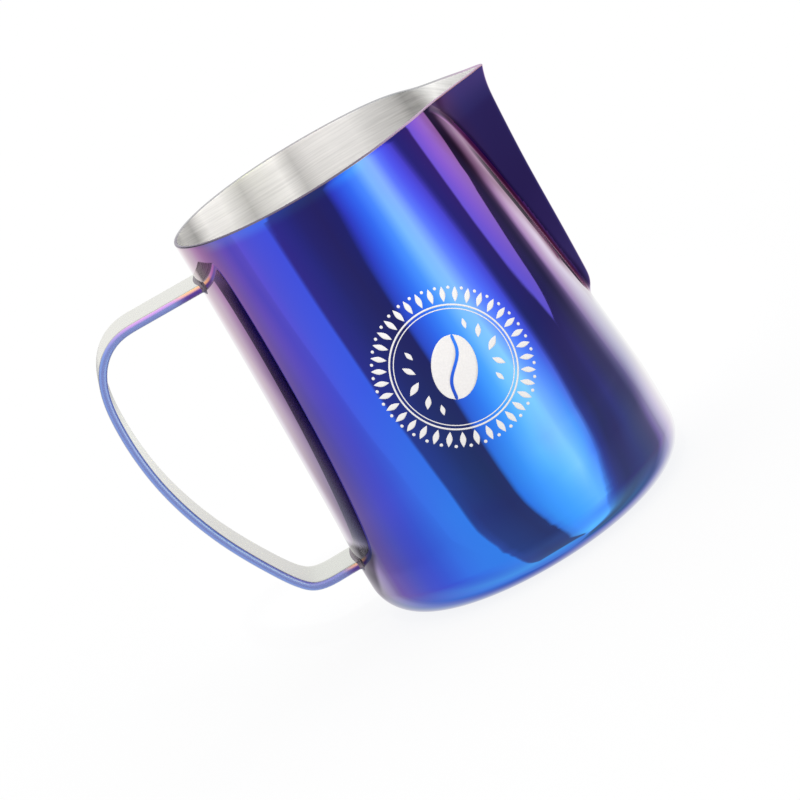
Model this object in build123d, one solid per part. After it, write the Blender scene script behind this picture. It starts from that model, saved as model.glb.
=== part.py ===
from build123d import *
import math
import os

# Milk frothing pitcher, 600 ml class. Millimetres, +Z up.
# Origin: centre of the flat underside of the base. The pouring spout points
# along +X, the handle lies along -X, and the XZ plane is the plane of symmetry.

# ---------------------------------------------------------------- dimensions
BODY_HEIGHT = 114.6        # base to the flat part of the rim
BASE_RADIUS = 45.0         # body radius at the foot
CORNER_RADIUS = 10.3       # outside radius between base and wall
WALL = 0.9                 # sheet thickness of the drawn shell
FLOOR = 1.2                # sheet thickness of the base
SECTION_POINTS = 36        # points on each body cross-section

MOUTH_HALF_WIDTH = 36.7    # half width of the mouth along Y
MOUTH_CENTRE_X = -5.4      # where the mouth is widest
MOUTH_BACK_X = -42.0       # wall above the handle
MOUTH_FRONT_X = 35.2       # where the front wall would end without the spout

SPOUT_HALF_ANGLE = 40.4    # between the XZ plane and one flank of the spout
SPOUT_NOSE_RADIUS = 1.3    # outside rounding of the spout ridge
SPOUT_TIP_X = 48.8         # reach of the pouring lip
SPOUT_BACK_X = 27.0        # back end of the wedge's side profile, inside the body
SPOUT_HALF_WIDTH = 17.0    # half width of the outer wedge along Y
CAVITY_HALF_WIDTH = 15.6   # half width of the inner wedge along Y

TRIM_REACH = 80.0          # the block above the rim spans this far along +X and -X
TRIM_HALF_WIDTH = 70.0     # and this far along +Y and -Y
TRIM_TOP = 140.0           # height of its top face

HANDLE_WIDTH = 18.0        # strip width
HANDLE_THICK = 2.3         # strip thickness
HANDLE_EDGE = 1.0          # rounding of the strip edges

WELD_LEG = 1.0             # size of the weld bead round each handle root
WELD_CHAMFER = 0.62 * WELD_LEG
CREST_DISTANCE = 0.9 * WELD_LEG  # crest edges lie farther than this from wall and strip
WELD_ZONE_X = -42.0        # centre of the box that isolates one weld
WELD_ZONE = (14, 40, 12)   # size of that box

# Wall stations: height, back wall X, front wall X, widest-point X, half width.
# The last one lies above the rim and is trimmed off.
STATIONS = [
    (0.0, -BASE_RADIUS, BASE_RADIUS, 0.00, BASE_RADIUS),
    (7.0, -BASE_RADIUS, BASE_RADIUS, 0.00, BASE_RADIUS),
    (14.0, -45.00, 45.02, 0.00, 45.00),
    (24.0, -44.62, 44.95, -0.22, 44.85),
    (36.0, -44.02, 44.00, -0.90, 44.25),
    (50.0, -43.42, 42.68, -1.70, 43.10),
    (66.0, -42.84, 40.85, -2.62, 41.52),
    (82.0, -42.36, 38.98, -3.54, 39.94),
    (98.0, -42.06, 37.12, -4.45, 38.36),
    (BODY_HEIGHT, MOUTH_BACK_X, MOUTH_FRONT_X, MOUTH_CENTRE_X, MOUTH_HALF_WIDTH),
    (120.0, -42.10, 34.58, -5.70, 36.16),
]

# Outermost line of the spout: X, Z. Its foot starts inside the front wall.
RIDGE = [
    (40.10, 44.6), (42.20, 46.6), (43.75, 48.4), (44.72, 50.4), (45.12, 53.5),
    (45.35, 60.0), (45.65, 72.0), (46.00, 86.0), (46.50, 96.0), (46.95, 103.0),
    (47.60, 108.5), (SPOUT_TIP_X, 112.6), (50.20, 116.0),
]

# Rim line: X, drop below the body height. Flat over the mouth, falling along the spout.
RIM_DROPS = [
    (10.0, 0.0), (20.0, 0.0), (27.0, 0.25), (33.0, 0.70),
    (40.0, 1.05), (45.0, 1.35), (SPOUT_TIP_X + 2.0, 2.20),
]
RIM_TANGENTS = [(1, 0), (1, -0.45)]  # directions at the two ends of the rim line

# Centre line of the handle strip: X, Z, from the upper root round to the lower root.
HANDLE_LINE = [
    (-40.0, 102.35), (-50.0, 102.62), (-60.0, 102.90), (-66.2, 102.55),
    (-71.2, 100.20), (-74.9, 95.90), (-77.1, 90.20), (-78.15, 82.50),
    (-78.25, 74.00), (-77.35, 64.50), (-75.35, 55.20), (-72.35, 46.00),
    (-68.60, 37.40), (-64.10, 28.90), (-60.30, 22.90), (-57.60, 20.25),
    (-54.20, 19.10), (-48.00, 18.85), (-42.0, 18.65),
]


# ---------------------------------------------------------------- body
def section(station, inset):
    """Closed cross-section: two half ovals, each with its own reach from the widest point."""
    z, back, front, centre, half_width = station
    points = []
    for i in range(SECTION_POINTS):
        angle = 2.0 * math.pi * i / SECTION_POINTS
        reach = (front - centre if math.cos(angle) > 0 else centre - back) - inset
        x = centre + reach * math.cos(angle)
        y = (half_width - inset) * math.sin(angle)
        points.append((x, y, z))
    return make_face(Spline(points, periodic=True))


def drawn_wall(inset, floor):
    """Solid bounded by the wall surface moved inwards by inset, standing on z = floor."""
    stations = [(floor,) + STATIONS[0][1:]] + STATIONS[1:]
    solid = loft([section(station, inset) for station in stations])
    bottom_ring = solid.edges().sort_by(Axis.Z)[0]
    return fillet(bottom_ring, CORNER_RADIUS - inset)


def side_face(curve, corners):
    """Face in the XZ plane: the curve, closed from its end to its start through the corners."""
    points = [curve @ 1, *corners, curve @ 0]
    lines = [Line(a, b) for a, b in zip(points, points[1:])]
    return make_face([Plane.XZ * edge for edge in [curve, *lines]])


def spout(inset, half_width):
    """Wedge of the spout: both flanks run back from the ridge at the same angle."""
    half_angle = math.radians(SPOUT_HALF_ANGLE)
    sine, cosine = math.sin(half_angle), math.cos(half_angle)
    # the flanks meet in a sharp line, offset along X from the rounded ridge
    ahead = SPOUT_NOSE_RADIUS * (1.0 / sine - 1.0) - inset / sine
    ridge = Spline([(x + ahead, z) for x, z in RIDGE])
    low, top = ridge @ 0, ridge @ 1  # Y of these points is height
    side = side_face(ridge, [(SPOUT_BACK_X, top.Y), (SPOUT_BACK_X, low.Y)])

    length = half_width / sine
    right = extrude(side, amount=length, dir=(-cosine, sine, 0))
    left = extrude(side, amount=length, dir=(-cosine, -sine, 0))
    wedge = right + left

    ridge_edges = []
    for edge in wedge.edges():
        middle = edge @ 0.5
        on_symmetry_plane = abs(middle.Y) < 1e-4
        if on_symmetry_plane and middle.X > low.X and low.Y + 1 < middle.Z < top.Y - 1:
            ridge_edges.append(edge)
    return fillet(ridge_edges, SPOUT_NOSE_RADIUS - inset)


def above_rim():
    """Block filling everything above the rim line."""
    rim = Spline([(x, BODY_HEIGHT - drop) for x, drop in RIM_DROPS], tangents=RIM_TANGENTS)
    corners = [
        (TRIM_REACH, BODY_HEIGHT - RIM_DROPS[-1][1]),
        (TRIM_REACH, TRIM_TOP),
        (-TRIM_REACH, TRIM_TOP),
        (-TRIM_REACH, BODY_HEIGHT),
    ]
    return extrude(side_face(rim, corners), amount=TRIM_HALF_WIDTH, both=True)


outer = drawn_wall(0.0, 0.0) + spout(0.0, SPOUT_HALF_WIDTH)
inner = drawn_wall(WALL, FLOOR) + spout(WALL, CAVITY_HALF_WIDTH)
pitcher_body = outer - inner - above_rim()


# ---------------------------------------------------------------- handle
def handle_strip(grow):
    """Strip swept along the handle line, its section enlarged by grow on every side."""
    path = Plane.XZ * Spline(HANDLE_LINE)
    plane = Plane(origin=path @ 0, x_dir=(0, 1, 0), z_dir=path % 0)
    profile = RectangleRounded(
        HANDLE_WIDTH + 2 * grow, HANDLE_THICK + 2 * grow, HANDLE_EDGE + grow
    )
    return sweep(plane * profile, path)


strip = handle_strip(0.0)
handle = strip - outer


# ---------------------------------------------------------------- welds
wall_grown = drawn_wall(-WELD_LEG, 0.0)
strip_grown = handle_strip(WELD_LEG)


def weld(z):
    """Bead of weld metal round the strip where it meets the wall at height z."""
    zone = Pos(WELD_ZONE_X, 0, z) * Box(*WELD_ZONE)
    bead = (strip_grown & zone & wall_grown) - outer - strip
    bead = bead.solids()[0]
    # the edge loop that lies on both grown surfaces is the crest of the bead
    crest = [
        edge
        for edge in bead.edges()
        if min(outer.distance_to(edge @ 0.5), strip.distance_to(edge @ 0.5)) > CREST_DISTANCE
    ]
    return chamfer(crest, WELD_CHAMFER)


# ---------------------------------------------------------------- export
parts = {
    "pitcher_body": pitcher_body,
    "handle": handle,
    "upper_handle_weld": weld(HANDLE_LINE[0][1]),
    "lower_handle_weld": weld(HANDLE_LINE[-1][1]),
}

os.makedirs("parts", exist_ok=True)
for name, part in parts.items():
    solids = list(part.solids())
    shape = Compound(children=solids) if len(solids) > 1 else solids[0]
    shape.label = name
    export_step(shape, os.path.join("parts", name + ".step"))
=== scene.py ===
import math

import bpy
import numpy as np
from mathutils import Matrix


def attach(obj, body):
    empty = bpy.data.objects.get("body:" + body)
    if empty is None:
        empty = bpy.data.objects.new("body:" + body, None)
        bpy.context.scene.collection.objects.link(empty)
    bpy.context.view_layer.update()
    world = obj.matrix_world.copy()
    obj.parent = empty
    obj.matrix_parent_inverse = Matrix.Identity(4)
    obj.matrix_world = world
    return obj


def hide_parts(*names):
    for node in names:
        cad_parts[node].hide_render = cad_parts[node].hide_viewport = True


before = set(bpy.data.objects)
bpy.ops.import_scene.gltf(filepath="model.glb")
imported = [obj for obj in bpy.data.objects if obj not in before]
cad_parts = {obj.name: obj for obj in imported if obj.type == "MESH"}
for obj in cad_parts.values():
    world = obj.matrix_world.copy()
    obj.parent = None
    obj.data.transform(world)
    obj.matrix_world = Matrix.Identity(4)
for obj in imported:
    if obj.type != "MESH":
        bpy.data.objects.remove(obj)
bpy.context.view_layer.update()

MM = 0.001
DEGREES = 180 / math.pi

scene = bpy.context.scene
scene.view_settings.view_transform = "Standard"
scene.view_settings.look = "None"
scene.view_settings.exposure = 0.0
scene.view_settings.gamma = 1.0
scene.cycles.use_denoising = True
scene.cycles.max_bounces = 16
scene.cycles.glossy_bounces = 12
scene.cycles.diffuse_bounces = 4
scene.cycles.caustics_reflective = True

# ---------------------------------------------------------------- body shape, mm

HEIGHT = 114.6
WALL = 0.9
FLOOR = 1.2  # thickness of the bottom
CORNER = 10.3  # outer radius between bottom and wall
NOSE = 1.3  # radius along the spout's ridge
FLANK = math.radians(40.4)  # angle of each spout flank to the ridge's plane
CREASE_BLEND = 1.35  # how softly a flank runs into the round wall
MIN_APEX = 5.0  # least distance from the section's centre to the flanks' meeting point
MIN_NOSE = 0.4  # least nose radius on the inside
FLANK_FALL = 12  # how fast a flank drops away behind its nearest point, mm per radian

# Sections: z, x on the handle's side, x on the spout's side, x of the centre, half width in y
STATIONS = [
    (14, -45, 45.02, 0, 45),
    (24, -44.62, 44.95, -0.22, 44.85),
    (36, -44.02, 44, -0.9, 44.25),
    (50, -43.42, 42.68, -1.7, 43.1),
    (66, -42.84, 40.85, -2.62, 41.52),
    (82, -42.36, 38.98, -3.54, 39.94),
    (98, -42.06, 37.12, -4.45, 38.36),
    (HEIGHT, -42, 35.2, -5.4, 36.7),
    (120, -42.1, 34.58, -5.7, 36.16),
]
# The spout's ridge: z, x
RIDGE = [
    (44.6, 40.1), (46.6, 42.2), (48.4, 43.75), (50.4, 44.72), (53.5, 45.12),
    (60, 45.35), (72, 45.65), (86, 46), (96, 46.5), (103, 46.95),
    (108.5, 47.6), (112.6, 48.8), (116, 50.2),
]
RIDGE_SLOPE = 1.2  # x per z below the ridge's first point
# The rim's dip towards the spout: x, change in z
RIM = [
    (10, 0), (20, 0), (27, -0.25), (33, -0.70), (40, -1.05), (45, -1.35), (50.8, -2.20),
]


def cubic(xs, ys, start_slope=None, end_slope=None):
    """Cubic spline through the points; an end without a slope is left free."""
    xs = np.array(xs, float)
    ys = np.array(ys, float)
    count = len(xs)
    gap = np.diff(xs)
    rise = np.diff(ys) / gap
    a = np.zeros((count, count))
    b = np.zeros(count)
    for i in range(1, count - 1):
        a[i, i - 1] = gap[i - 1]
        a[i, i] = 2 * (gap[i - 1] + gap[i])
        a[i, i + 1] = gap[i]
        b[i] = 6 * (rise[i] - rise[i - 1])
    if start_slope is None:
        a[0, 0] = 1
    else:
        a[0, 0] = 2 * gap[0]
        a[0, 1] = gap[0]
        b[0] = 6 * (rise[0] - start_slope)
    if end_slope is None:
        a[-1, -1] = 1
    else:
        a[-1, -1] = 2 * gap[-1]
        a[-1, -2] = gap[-1]
        b[-1] = 6 * (end_slope - rise[-1])
    bend = np.linalg.solve(a, b)

    def curve(x):
        x = np.asarray(x, float)
        i = np.clip(np.searchsorted(xs, x) - 1, 0, count - 2)
        after = xs[i + 1] - x
        before = x - xs[i]
        g = gap[i]
        value = (
            (bend[i] * after**3 + bend[i + 1] * before**3) / (6 * g)
            + (ys[i] / g - bend[i] * g / 6) * after
            + (ys[i + 1] / g - bend[i + 1] * g / 6) * before
        )
        return np.where(x < xs[0], ys[0], value)

    return curve


station_z, *station_values = zip(*STATIONS)
handle_side, spout_side, centre, half_width = (
    cubic(station_z, values, start_slope=0.0) for values in station_values
)
ridge_curve = cubic(*zip(*RIDGE))
rim_curve = cubic(*zip(*RIM), start_slope=0.0, end_slope=-0.45)


def ridge(z):
    z = np.asarray(z, float)
    z0, x0 = RIDGE[0]
    return np.where(z < z0, x0 - (z0 - z) * RIDGE_SLOPE, ridge_curve(np.maximum(z, z0)))


def rim_z(x):
    x0 = RIM[0][0]
    return HEIGHT + np.where(x < x0, 0.0, rim_curve(np.maximum(x, x0)))


def smoothstep(x, a, b):
    t = np.clip((x - a) / (b - a), 0, 1)
    return t * t * (3 - 2 * t)


def bisect(is_before, lo, hi):
    """The place between lo and hi where is_before turns from true to false."""
    for _ in range(50):
        middle = (lo + hi) / 2
        if is_before(middle):
            lo = middle
        else:
            hi = middle
    return (lo + hi) / 2


def ellipse(along, across, phi):
    return 1 / np.sqrt((np.cos(phi) / along) ** 2 + (np.sin(phi) / across) ** 2)


def apex_x(z):
    """Where the spout's two flanks would meet if its nose were sharp."""
    return ridge(z) + NOSE * (1 / math.sin(FLANK) - 1)


def flank_radius(apex, p):
    """Distance to a straight flank, as far round as its nearest point."""
    return apex * math.sin(FLANK) / np.sin(np.minimum(p, math.pi / 2 - FLANK) + FLANK)


def outline(z, phi, inset=0.0):
    """Distance from the section's centre to the wall at height z, azimuth phi."""
    z, phi, inset = np.broadcast_arrays(
        np.asarray(z, float), np.asarray(phi, float), np.asarray(inset, float)
    )
    # the round wall: two half ellipses, blended where they meet
    c = centre(z)
    to_spout = spout_side(z) - c - inset
    to_handle = c - handle_side(z) - inset
    along = to_handle + (to_spout - to_handle) * smoothstep(np.cos(phi), -0.4, 0.4)
    round_r = ellipse(along, half_width(z) - inset, phi)
    # the spout: two flanks and a rounded nose between them
    apex = np.maximum(apex_x(z) - inset / math.sin(FLANK) - c, MIN_APEX)
    nose = np.maximum(NOSE - inset, MIN_NOSE)
    p = np.abs((phi + np.pi) % (2 * np.pi) - np.pi)
    nearest = np.pi / 2 - FLANK
    spout_r = np.where(
        p < nearest,
        flank_radius(apex, p),
        apex * math.sin(FLANK) - (p - nearest) * FLANK_FALL,
    )
    nose_x = apex - nose / math.sin(FLANK)
    tangent = np.arctan2(nose * math.cos(FLANK), nose_x + nose * math.sin(FLANK))
    nose_r = nose_x * np.cos(p) + np.sqrt(np.maximum(nose**2 - (nose_x * np.sin(p)) ** 2, 0))
    spout_r = np.where(p < tangent, nose_r, spout_r)
    # soft maximum of the two
    near = np.maximum(CREASE_BLEND - np.abs(round_r - spout_r), 0) / CREASE_BLEND
    r = np.maximum(round_r, spout_r) + near * near * CREASE_BLEND / 4
    # the rounded corner at the bottom; only the inner wall starts from the floor's top
    corner = CORNER - inset
    bottom = np.where(inset > WALL - 0.01, FLOOR, 0.0)
    below = np.clip(corner - (z - bottom), 0, corner)
    return r - (corner - np.sqrt(corner**2 - below**2))


def wall_point(z, phi, inset=0.0):
    z, phi = np.broadcast_arrays(np.asarray(z, float), np.asarray(phi, float))
    r = outline(z, phi, inset)
    return np.stack([centre(z) + r * np.cos(phi), r * np.sin(phi), z + 0 * r], -1)


def wall_normal(z, phi):
    turn, rise = 1e-3, 0.02
    a = wall_point(z, phi + turn) - wall_point(z, phi - turn)
    b = wall_point(z + rise, phi) - wall_point(z - rise, phi)
    n = np.cross(a, b)
    return n / np.linalg.norm(n, axis=-1, keepdims=True)


def make_object(name, verts, faces, materials, material_of=None):
    """Smooth mesh object from vertices in mm."""
    mesh = bpy.data.meshes.new(name)
    mesh.from_pydata([tuple(v) for v in np.asarray(verts) * MM], [], faces)
    for material in materials:
        mesh.materials.append(material)
    if material_of is not None:
        mesh.polygons.foreach_set("material_index", np.array(material_of, dtype=np.int32))
    mesh.polygons.foreach_set("use_smooth", np.ones(len(mesh.polygons), dtype=bool))
    mesh.validate()
    mesh.update()
    ob = bpy.data.objects.new(name, mesh)
    scene.collection.objects.link(ob)
    return ob


def grid_faces(rows, cols, flip=False, join_rows=False):
    """Quads over a grid closed across its columns and, if asked, across its rows."""
    faces = []
    for i in range(rows if join_rows else rows - 1):
        here, above = i * cols, (i + 1) % rows * cols
        for j in range(cols):
            k = (j + 1) % cols
            quad = (here + j, here + k, above + k, above + j)
            faces.append(quad[::-1] if flip else quad)
    return faces


# ---------------------------------------------------------------- node help


class Nodes:
    """Builds a node tree; arguments may be sockets or plain values."""

    def __init__(self, tree):
        self.nodes = tree.nodes
        self.links = tree.links
        self.nodes.clear()

    def node(self, kind, **props):
        node = self.nodes.new(kind)
        for key, value in props.items():
            setattr(node, key, value)
        return node

    def put(self, socket, value):
        if isinstance(value, bpy.types.NodeSocket):
            self.links.new(value, socket)
        else:
            socket.default_value = value

    def math(self, operation, a, b=0.0, clamp=False):
        node = self.node("ShaderNodeMath", operation=operation, use_clamp=clamp)
        for socket, value in zip(node.inputs, (a, b, 0.0)):
            self.put(socket, value)
        return node.outputs[0]

    def add(self, a, b):
        return self.math("ADD", a, b)

    def subtract(self, a, b):
        return self.math("SUBTRACT", a, b)

    def multiply(self, a, b):
        return self.math("MULTIPLY", a, b)

    def divide(self, a, b, clamp=False):
        return self.math("DIVIDE", a, b, clamp)

    def split(self, vector):
        node = self.node("ShaderNodeSeparateXYZ")
        self.put(node.inputs[0], vector)
        return node.outputs

    def combine(self, kind, *parts):
        """kind is XYZ or Color."""
        node = self.node("ShaderNodeCombine" + kind)
        for socket, part in zip(node.inputs, parts):
            self.put(socket, part)
        return node.outputs[0]

    def angles(self, vector):
        """Azimuth (from -Y towards +X) and elevation of a direction, in degrees."""
        dx, dy, dz = self.split(vector)
        azimuth = self.multiply(self.math("ARCTAN2", dx, self.multiply(dy, -1.0)), DEGREES)
        return azimuth, self.multiply(self.math("ARCSINE", dz), DEGREES)

    def ramp(self, fac, stops):
        """Colour ramp from rising (position, red, green, blue) stops."""
        node = self.node("ShaderNodeValToRGB")
        elements = node.color_ramp.elements
        for element, (position, *rgb) in zip(elements, (stops[0], stops[-1])):
            element.position = position
            element.color = (*rgb, 1.0)
        for position, *rgb in stops[1:-1]:
            elements.new(position).color = (*rgb, 1.0)
        self.put(node.inputs[0], fac)
        return node.outputs[0]

    def mix(self, fac, a, b, blend="MIX"):
        node = self.node("ShaderNodeMix", data_type="RGBA", blend_type=blend)
        self.put(node.inputs[0], fac)
        self.put(node.inputs[6], a)
        self.put(node.inputs[7], b)
        return node.outputs[2]

    def tint(self, base, colour):
        return self.mix(1.0, base, colour, "MULTIPLY")

    def tint_where(self, fac, base, rgb):
        return self.mix(fac, base, self.tint(base, (*rgb, 1)))

    def step(self, value, start, end, first=0.0, last=1.0, smooth=True):
        """Goes from first to last as the value goes from start to end."""
        kind = "SMOOTHSTEP" if smooth else "LINEAR"
        node = self.node("ShaderNodeMapRange", interpolation_type=kind)
        for socket, number in zip(node.inputs, (value, start, end, first, last)):
            self.put(socket, number)
        return node.outputs[0]

    def noise(self, place, scale, detail=2.0):
        node = self.node("ShaderNodeTexNoise")
        node.inputs["Scale"].default_value = scale
        node.inputs["Detail"].default_value = detail
        self.put(node.inputs["Vector"], place)
        return node.outputs["Fac"]

    def speckle(self, place, scale, low, high, detail=2.0):
        """Noise that varies between low and high."""
        noise = self.noise(place, scale, detail)
        return self.step(noise, start=0.3, end=0.7, first=low, last=high)

    def object_place(self):
        return self.node("ShaderNodeTexCoord").outputs["Object"]

    def facing(self):
        """0 where the surface is seen square on, 1 where it is seen edge on."""
        node = self.node("ShaderNodeLayerWeight")
        node.inputs[0].default_value = 0.5
        return node.outputs["Facing"]

    def output(self, shader, kind="Material"):
        self.put(self.node("ShaderNodeOutput" + kind).inputs[0], shader)

    def principled(self, inputs):
        node = self.node("ShaderNodeBsdfPrincipled")
        for name, value in inputs.items():
            self.put(node.inputs[name], value)
        self.output(node.outputs[0])


def new_material(name):
    material = bpy.data.materials.new(name)
    material.use_nodes = True
    return material, Nodes(material.node_tree)


def grey_stops(pairs):
    return [(position, value, value, value) for position, value in pairs]


# ---------------------------------------------------------------- surroundings

# The four edges of the studio's panels in order of azimuth: (elevation, azimuth), degrees
PANEL_EDGES = [
    [
        (-90, -60), (-20, -45), (-16, -42), (-13.8, -55), (-11, -60), (-8.5, -64),
        (-7.2, -70), (-6.7, -77), (10, -78),
    ],
    [
        (-90, -31), (-69, -30), (-61, -28), (-54, -26), (-40, -24.2), (-25, -24),
        (-17, -25.5), (-16.3, -28.5), (-15.5, -32.5), (-14.3, -36), (-13, -37.4),
        (-10.3, -38.8), (-7.5, -41), (-5.8, -43), (-5, -45), (-4.3, -46.3), (-3, -45.5),
        (-2.4, -42), (10, -40),
    ],
    [
        (-90, 82), (-76, 74), (-73.5, 57), (-71, 43), (-68.5, 35), (-64, 26), (-60, 22),
        (-50, 18.5), (-37, 15), (-28, 13), (-20, 11.8), (-16.7, 10.6), (-16.3, 8.3),
        (-15.7, 5.6), (-15, 3.9), (-13.6, 1.4), (-12, 0.2), (-9, -0.2), (-5, 0.5), (-3, 1.5),
        (-1.5, 2.5), (0, 4), (1, 7.5), (10, 12),
    ],
    [
        (-90, 98), (-80, 95), (-75, 92), (-70, 87), (-60, 77), (-50, 65.5), (-45, 61.3),
        (-40, 57.8), (-35, 55.6), (-28, 53.6), (-20, 52.6), (-16.4, 53.4), (-15.9, 55.8),
        (-15, 57.7), (-13.5, 60.5), (-11.3, 62), (-6.8, 64.5), (-5, 68), (-3, 69),
        (-1.5, 69.5), (0, 67), (1, 64), (10, 60),
    ],
]

# Brightness round the studio at six levels: (place, red, green, blue).
# Places 0.2, 0.4, 0.6 and 0.8 are the panels' edges.
DARK_PANEL = [
    (0.393, 1, 0.97, 1), (0.407, 0.62, 0.28, 0.33), (0.45, 0.63, 0.25, 0.28),
    (0.5, 0.62, 0.20, 0.20), (0.56, 0.60, 0.17, 0.155),
]
BAND_TOP = [
    (0.0, 1, 1, 1), (0.039, 0.96, 0.95, 0.95), (0.058, 0.86, 0.84, 0.86),
    (0.097, 0.83, 0.80, 0.82), (0.12, 0.70, 0.72, 0.72), (0.14, 0.58, 0.70, 0.68),
    (0.175, 0.56, 0.70, 0.72), (0.197, 0.76, 0.80, 0.77), (0.206, 0.93, 0.93, 0.94),
    *DARK_PANEL,
    (0.598, 0.50, 0.17, 0.18), (0.613, 0.86, 0.42, 0.64), (0.632, 0.92, 0.85, 0.95),
    (0.651, 1.05, 1.40, 1.15), (0.676, 2.0, 2.6, 1.35), (0.702, 4.9, 5.0, 1.6),
    (0.727, 4.8, 5.1, 1.5), (0.752, 1.9, 2.2, 1.4), (0.771, 1.3, 1.2, 1.25),
    (0.784, 1.1, 0.88, 1.1), (0.797, 0.88, 0.63, 0.86), (0.806, 0.25, 0.21, 0.26),
    (0.83, 0.24, 0.19, 0.23), (0.88, 0.06, 0.08, 0.10), (0.893, 0.07, 0.07, 0.09),
    (0.903, 0.42, 0.40, 0.42), (0.925, 0.68, 0.66, 0.68), (1.0, 1, 1, 1),
]
BAND_UPPER = [
    (0.0, 0.97, 0.97, 0.97), (0.036, 0.92, 0.90, 0.91), (0.055, 0.81, 0.77, 0.78),
    (0.073, 0.63, 0.56, 0.64), (0.091, 0.47, 0.43, 0.52), (0.127, 0.60, 0.70, 0.66),
    (0.145, 0.70, 0.83, 0.78), (0.197, 0.88, 0.85, 0.88), (0.206, 1.0, 1.05, 1.02),
    *DARK_PANEL,
    (0.595, 0.56, 0.15, 0.15), (0.606, 0.92, 0.62, 0.80), (0.635, 1.0, 1.1, 1.08),
    (0.653, 1.3, 1.65, 1.2), (0.677, 2.3, 2.5, 1.3), (0.7, 5.4, 3.9, 1.4),
    (0.724, 6.2, 4.6, 1.4), (0.748, 2.8, 2.4, 1.35), (0.766, 1.6, 1.6, 1.25),
    (0.79, 1.05, 0.85, 0.98), (0.797, 0.95, 0.70, 0.85), (0.806, 0.29, 0.23, 0.20),
    (0.834, 0.21, 0.21, 0.18), (0.867, 0.13, 0.17, 0.16), (0.881, 0.09, 0.12, 0.12),
    (0.891, 0.25, 0.25, 0.27), (0.903, 1.0, 0.97, 1.0), (1.0, 1, 1, 1),
]
BAND_MIDDLE = [
    (0.0, 0.95, 0.95, 0.95), (0.033, 0.85, 0.82, 0.86), (0.05, 0.60, 0.54, 0.57),
    (0.067, 0.46, 0.42, 0.46), (0.1, 0.70, 0.73, 0.76), (0.117, 0.82, 0.86, 0.87),
    (0.14, 0.92, 0.91, 0.95), (0.197, 1.0, 0.98, 0.99), (0.206, 1.04, 1.04, 1.03),
    *DARK_PANEL,
    (0.595, 0.68, 0.16, 0.16), (0.607, 0.97, 0.88, 0.92), (0.643, 1.45, 1.45, 1.14),
    (0.687, 3.7, 2.5, 1.3), (0.712, 4.9, 2.65, 1.3), (0.737, 6.0, 3.2, 1.3),
    (0.762, 3.5, 2.5, 1.3), (0.781, 2.0, 2.1, 1.27), (0.797, 2.0, 1.6, 1.15),
    (0.805, 0.74, 0.34, 0.33), (0.8237, 0.60, 0.36, 0.19), (0.841, 0.51, 0.42, 0.25),
    (0.8513, 0.52, 0.49, 0.34), (0.872, 0.38, 0.48, 0.29), (0.886, 0.31, 0.42, 0.31),
    (0.896, 0.48, 0.68, 0.50), (0.907, 0.80, 0.90, 0.87), (1.0, 1, 1, 1),
]
BAND_LOW = [
    (0.0, 0.95, 0.95, 0.95), (0.035, 0.85, 0.83, 0.85), (0.05, 0.70, 0.68, 0.70),
    (0.08, 0.76, 0.66, 0.80), (0.1, 0.80, 0.80, 0.85), (0.17, 0.93, 0.93, 0.95),
    (0.197, 0.95, 0.93, 0.96), (0.206, 1.03, 1.03, 1.03), (0.393, 1.0, 1.02, 1.02),
    (0.407, 0.66, 0.27, 0.33), (0.44, 0.70, 0.20, 0.24), (0.5, 0.66, 0.17, 0.20),
    (0.56, 0.70, 0.15, 0.16), (0.595, 0.70, 0.16, 0.17), (0.607, 0.95, 0.90, 0.98),
    (0.65, 1.6, 1.5, 1.2), (0.68, 2.2, 1.9, 1.5), (0.71, 3.4, 2.5, 1.8),
    (0.745, 5.7, 3.2, 2.0), (0.77, 3.1, 2.5, 1.6), (0.797, 1.6, 1.3, 1.1),
    (0.806, 0.80, 0.35, 0.35), (0.82, 0.70, 0.34, 0.20), (0.84, 0.62, 0.42, 0.23),
    (0.857, 0.57, 0.59, 0.37), (0.877, 0.46, 0.64, 0.35), (0.89, 0.38, 0.55, 0.34),
    (0.9, 0.75, 0.90, 0.65), (0.912, 1.0, 1.05, 0.97), (1.0, 1, 1, 1),
]
BAND_LOWER = [
    (0.0, 0.80, 0.78, 0.84), (0.025, 0.56, 0.54, 0.58), (0.05, 0.50, 0.50, 0.52),
    (0.085, 0.87, 0.80, 0.95), (0.1, 1.0, 1.05, 1.03), (0.393, 1.05, 1.05, 1.0),
    (0.407, 0.95, 0.36, 0.42), (0.44, 0.75, 0.25, 0.26), (0.56, 0.80, 0.19, 0.18),
    (0.595, 0.80, 0.20, 0.19), (0.607, 1.2, 0.90, 0.90), (0.63, 1.34, 1.4, 1.12),
    (0.68, 1.7, 1.8, 1.35), (0.72, 2.3, 2.1, 1.5), (0.76, 3.2, 2.5, 1.6),
    (0.79, 2.9, 2.5, 1.5), (0.797, 2.0, 1.8, 1.2), (0.806, 1.0, 0.50, 0.50),
    (0.815, 0.98, 0.40, 0.30), (0.83, 0.83, 0.45, 0.22), (0.857, 0.70, 0.68, 0.34),
    (0.88, 0.60, 0.80, 0.40), (0.895, 0.60, 0.80, 0.47), (0.905, 1.1, 1.2, 1.0),
    (0.93, 1.05, 1.05, 1.03), (0.98, 1, 1, 1), (1.0, 0.80, 0.78, 0.84),
]
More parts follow.
